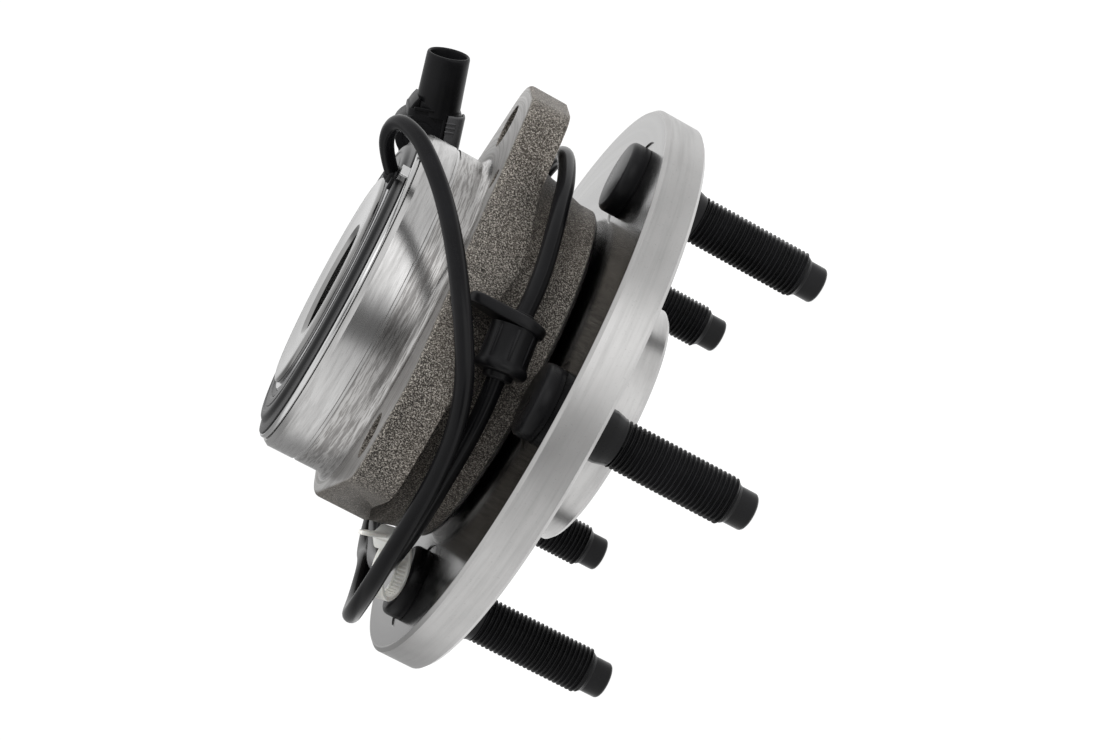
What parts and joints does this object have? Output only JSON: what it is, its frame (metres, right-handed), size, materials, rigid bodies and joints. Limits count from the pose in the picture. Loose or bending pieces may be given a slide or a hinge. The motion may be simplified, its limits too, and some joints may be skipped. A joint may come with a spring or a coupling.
{
  "type": "wheel hub bearing assembly",
  "caption": "Flanged wheel hub unit: studded wheel flange, lobed knuckle flange, double-row ball bearing and a ring-type speed sensor with its lead and plug.",
  "frame": {"origin": "centre of the wheel mounting face, on the axis of rotation", "axes": "+Z along the axis of rotation towards the knuckle (inboard), the wheel studs point to -Z, +X passes through one wheel stud"},
  "size_m": [0.1816, 0.1816, 0.1364],
  "materials": {
    "hub_steel": "forged steel, turned and ground faces, light oil film",
    "stud_black": "black phosphated high-tensile steel, satin",
    "ring_casting": "forged blank, as-forged grey-brown skin, machined pilot and mounting face",
    "bearing_steel": "through-hardened bearing steel, polished",
    "cage_nylon": "glass-filled polyamide, natural",
    "seal_case_steel": "cold-rolled steel pressing",
    "seal_rubber": "nitrile rubber, black",
    "cap_steel": "bright pressed steel",
    "sensor_moulding": "black glass-filled polyamide",
    "copper_coil": "enamelled copper winding",
    "tone_steel": "sintered steel",
    "tab_steel": "zinc-plated spring steel",
    "lead_sheath": "extruded polyurethane sheath, black, satin",
    "connector_plastic": "black moulded polyamide",
    "lock_plastic": "dark grey moulded polyamide",
    "terminal_tin": "tin-plated brass",
    "tie_nylon": "natural nylon, translucent white"
  },
  "bodies": {
    "housing": {"outer_ring": "ring_casting", "knuckle_flange": "ring_casting", "outboard_seal_case": "seal_case_steel", "outboard_seal_lip": "seal_rubber", "sensor_cap": "cap_steel", "sensor_ring": "sensor_moulding", "sensor_coil": "copper_coil", "inboard_seal_lip": "seal_rubber", "lead_outlet": "sensor_moulding", "outlet_tabs": "tab_steel", "sensor_lead": "lead_sheath", "lead_grommet": "seal_rubber", "cable_tie": "tie_nylon", "connector_body": "connector_plastic", "connector_terminals": "terminal_tin", "connector_seal": "seal_rubber", "connector_lock": "lock_plastic", "connector_boot": "seal_rubber"},
    "hub": {"wheel_hub": "hub_steel", "wheel_nose": "hub_steel", "wheel_studs": "stud_black", "inner_ring": "bearing_steel", "tone_ring": "tone_steel"},
    "cage_out": {"outboard_cage": "cage_nylon", "outboard_balls": "bearing_steel"},
    "cage_in": {"inboard_cage": "cage_nylon", "inboard_balls": "bearing_steel"}
  },
  "joints": [
    {"name": "hub_spin", "type": "hinge", "parent": "housing", "child": "hub", "pos_m": [0, 0, 0.042], "axis": [0, 0, 1], "continuous": true},
    {"name": "outboard_cage_spin", "type": "hinge", "parent": "housing", "child": "cage_out", "pos_m": [0, 0, 0.027], "axis": [0, 0, 1], "continuous": true},
    {"name": "inboard_cage_spin", "type": "hinge", "parent": "housing", "child": "cage_in", "pos_m": [0, 0, 0.057], "axis": [0, 0, 1], "continuous": true}
  ],
  "couplings": [
    {"joint": "outboard_cage_spin", "follows": "hub_spin", "ratio": 0.425},
    {"joint": "inboard_cage_spin", "follows": "hub_spin", "ratio": 0.425}
  ]
}
